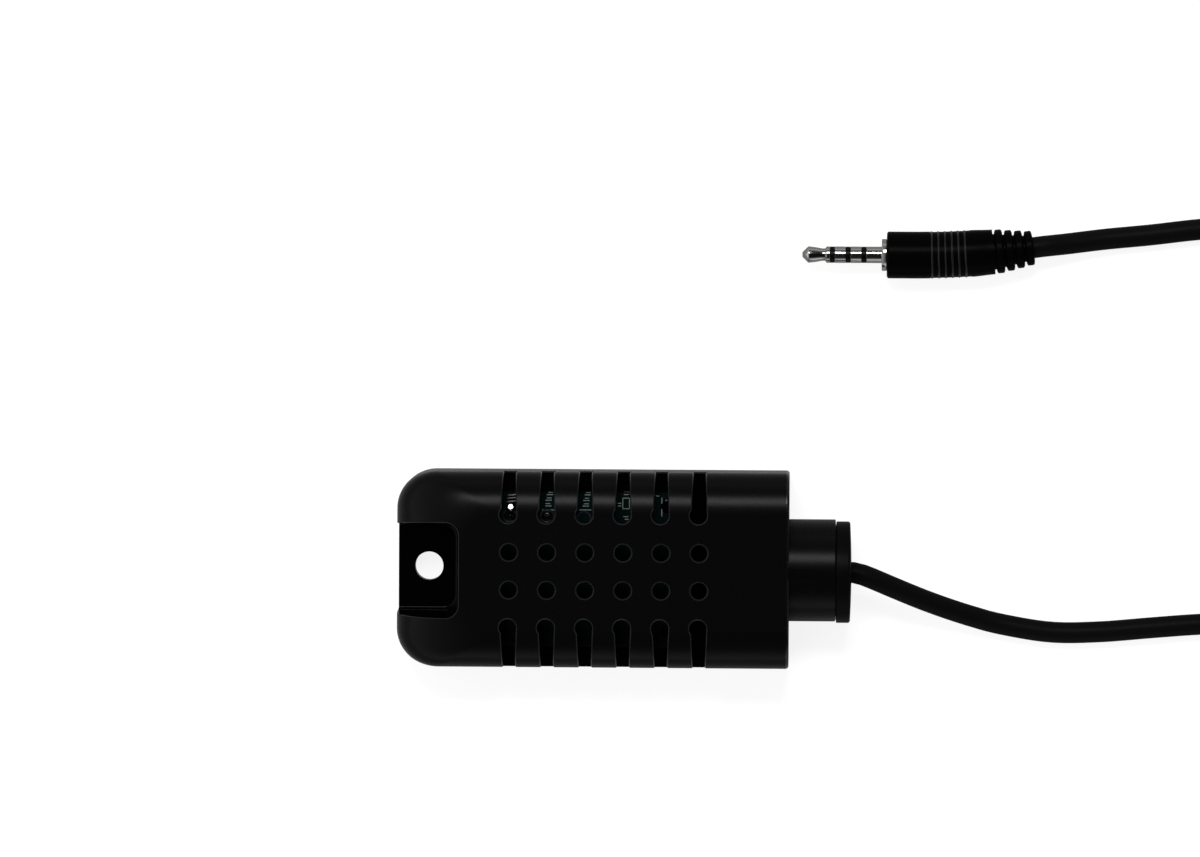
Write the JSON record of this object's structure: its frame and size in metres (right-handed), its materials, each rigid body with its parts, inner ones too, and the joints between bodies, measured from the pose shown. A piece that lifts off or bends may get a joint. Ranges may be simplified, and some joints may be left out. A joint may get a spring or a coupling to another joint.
{
  "type": "temperature and humidity probe",
  "caption": "Vented rectangular sensor head with a screw lug and a round neck, on a thin round cable that ends in a four-pole jack plug.",
  "frame": {"origin": "bottom centre of the sensor head's box", "axes": "+X along the head from the lug end to the cable, +Z out of the vented face, the head lies on its back"},
  "size_m": [0.1756, 0.0684, 0.0155],
  "materials": {
    "case": "fine moulded texture",
    "bushing": "satin",
    "cable": "satin sheath",
    "grip": "satin, moulded",
    "strap": "woven hook and loop",
    "inner_tie": "natural nylon",
    "board": "solder mask",
    "chip": "moulded epoxy",
    "capacitor": "fired ceramic",
    "resistor": "glazed",
    "solder": "bright tin",
    "contact": "bright nickel plate",
    "insulator": "moulded",
    "wire_red": "satin",
    "wire_white": "satin",
    "wire_yellow": "satin",
    "wire_black": "satin"
  },
  "bodies": {
    "root": {"front_shell": "case", "back_shell": "case", "cable_bushing": "bushing", "circuit_board": "board", "humidity_sensor": "chip", "bypass_capacitor": "capacitor", "bus_resistor_1": "resistor", "bus_resistor_2": "resistor", "solder_joint_1": "solder", "solder_joint_2": "solder", "solder_joint_3": "solder", "solder_joint_4": "solder", "wire_1": "wire_red", "wire_2": "wire_white", "wire_3": "wire_yellow", "wire_4": "wire_black", "cable_inner_end": "cable", "inner_tie": "inner_tie", "cable_lead": "cable", "cable_coil": "cable", "cable_tail": "cable", "coil_strap": "strap", "plug_tip": "contact", "plug_ring_1": "contact", "plug_ring_2": "contact", "plug_sleeve": "contact", "plug_insulator_1": "insulator", "plug_insulator_2": "insulator", "plug_insulator_3": "insulator", "plug_body": "grip"}
  },
  "joints": []
}
